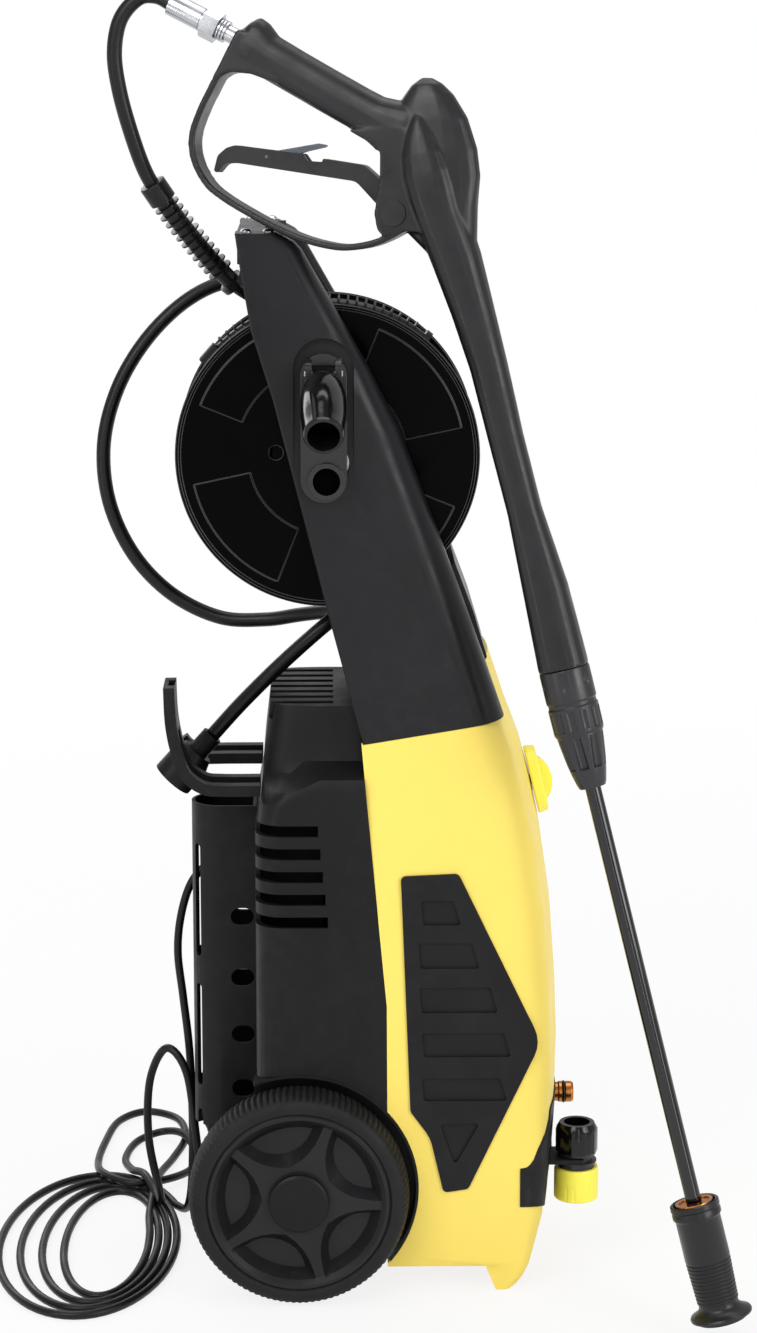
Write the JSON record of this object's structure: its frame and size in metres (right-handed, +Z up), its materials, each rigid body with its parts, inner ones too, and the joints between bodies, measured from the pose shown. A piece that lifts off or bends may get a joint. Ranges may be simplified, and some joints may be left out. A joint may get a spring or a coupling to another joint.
{
  "type": "pressure washer",
  "caption": "Upright wheeled pressure washer: hose reel between tall arms, fold-down crank, spray gun and lance in a rear holder, rotary switch and quick connector.",
  "frame": {"origin": "middle of the front foot's flat underside, on the floor", "axes": "+X to the front, where the switch and the water inlet are; +Y to the left side of the machine; +Z up"},
  "size_m": [0.6113, 0.5575, 1.043],
  "materials": {
    "yellow_plastic": "smooth moulded, satin",
    "black_plastic": "fine grained moulding",
    "gloss_black": "smooth moulding",
    "tyre": "matte solid tyre",
    "hose": "smooth hose cover",
    "steel": "machined",
    "brass": "machined",
    "aluminium": "die cast"
  },
  "bodies": {
    "body": {"front_shell": "yellow_plastic", "rear_shell": "black_plastic", "side_panels": "black_plastic", "front_insert": "black_plastic", "right_arm": "black_plastic", "left_arm": "black_plastic", "top_crossbar": "black_plastic", "arm_bridge": "black_plastic", "chassis": "black_plastic", "arch_liners": "black_plastic", "axle": "steel", "reel_bearings": "steel", "hose_swivel": "brass", "lance_holder": "black_plastic", "right_cord_hook": "black_plastic", "left_cord_hook": "black_plastic", "rotary_switch": "black_plastic", "water_inlet": "brass", "inlet_seal": "hose", "water_outlet": "brass", "motor": "aluminium", "pump": "aluminium", "wiring_box": "black_plastic", "gun_hose": "hose", "hose_bend_guard": "hose", "supply_hose": "hose", "supply_nut": "gloss_black", "cord_gland": "black_plastic", "power_cord": "hose", "cord_coil": "hose", "plug": "black_plastic"},
    "reel": {"right_reel_flange": "black_plastic", "left_reel_flange": "black_plastic", "reel_drum": "black_plastic", "hose_winding": "hose", "winding_bend_guard": "hose", "crank_arm": "black_plastic", "crank_pin": "steel"},
    "crank_grip": {"crank_grip": "gloss_black"},
    "right_wheel": {"right_wheel": "black_plastic", "right_tyre": "tyre", "right_hub_cap": "black_plastic"},
    "left_wheel": {"left_wheel": "black_plastic", "left_tyre": "tyre", "left_hub_cap": "black_plastic"},
    "switch_knob": {"switch_knob": "yellow_plastic"},
    "gun": {"gun_right_half": "black_plastic", "gun_left_half": "black_plastic", "gun_inlet": "steel", "trigger_pin": "gloss_black", "lance_collar": "black_plastic", "lance_nut": "black_plastic", "lance_tube": "gloss_black", "nozzle_jet": "brass"},
    "trigger": {"trigger": "gloss_black"},
    "trigger_latch": {"trigger_latch": "steel"},
    "nozzle": {"nozzle_grip": "gloss_black"},
    "connector": {"connector_nut": "gloss_black", "connector_body": "black_plastic"},
    "connector_collar": {"connector_collar": "yellow_plastic"}
  },
  "joints": [
    {"name": "right_wheel_spin", "type": "hinge", "parent": "body", "child": "right_wheel", "pos_m": [-0.168, 0, 0.09], "axis": [0, 1, 0], "continuous": true},
    {"name": "left_wheel_spin", "type": "hinge", "parent": "body", "child": "left_wheel", "pos_m": [-0.168, 0, 0.09], "axis": [0, 1, 0], "continuous": true},
    {"name": "reel_spin", "type": "hinge", "parent": "body", "child": "reel", "pos_m": [-0.143, 0, 0.68], "axis": [0, 1, 0], "continuous": true},
    {"name": "crank_grip_fold", "type": "hinge", "parent": "reel", "child": "crank_grip", "pos_m": [-0.146, -0.111, 0.752], "axis": [1, 0, 0], "range_deg": [-22, 36]},
    {"name": "switch_turn", "type": "hinge", "parent": "body", "child": "switch_knob", "pos_m": [0.022, 0, 0.403], "axis": [0.972, 0, 0.2351], "range_deg": [0, 90]},
    {"name": "gun_lift", "type": "slide", "parent": "body", "child": "gun", "axis": [0, 0, 1], "range_m": [0, 0.06], "deforming": ["gun_hose"]},
    {"name": "trigger_squeeze", "type": "hinge", "parent": "gun", "child": "trigger", "pos_m": [-0.08922, -0.09983, 0.87398], "axis": [0.2416, 0.969, -0.0523], "range_deg": [0, 12], "stiffness_Nm_per_rad": 2},
    {"name": "latch_flip", "type": "hinge", "parent": "trigger", "child": "trigger_latch", "pos_m": [-0.18766, -0.07305, 0.91542], "axis": [0.2416, 0.969, -0.0523], "range_deg": [0, 10]},
    {"name": "nozzle_twist", "type": "hinge", "parent": "gun", "child": "nozzle", "pos_m": [0.03885, -0.15043, 0.52845], "axis": [0.2389, -0.1117, -0.9646], "range_deg": [0, 120]},
    {"name": "connector_pull_off", "type": "slide", "parent": "body", "child": "connector", "axis": [1, 0, 0], "range_m": [0, 0.04]},
    {"name": "connector_collar_release", "type": "slide", "parent": "connector", "child": "connector_collar", "axis": [0, 0, 1], "range_m": [0, 0.004], "stiffness_N_per_m": 400}
  ]
}
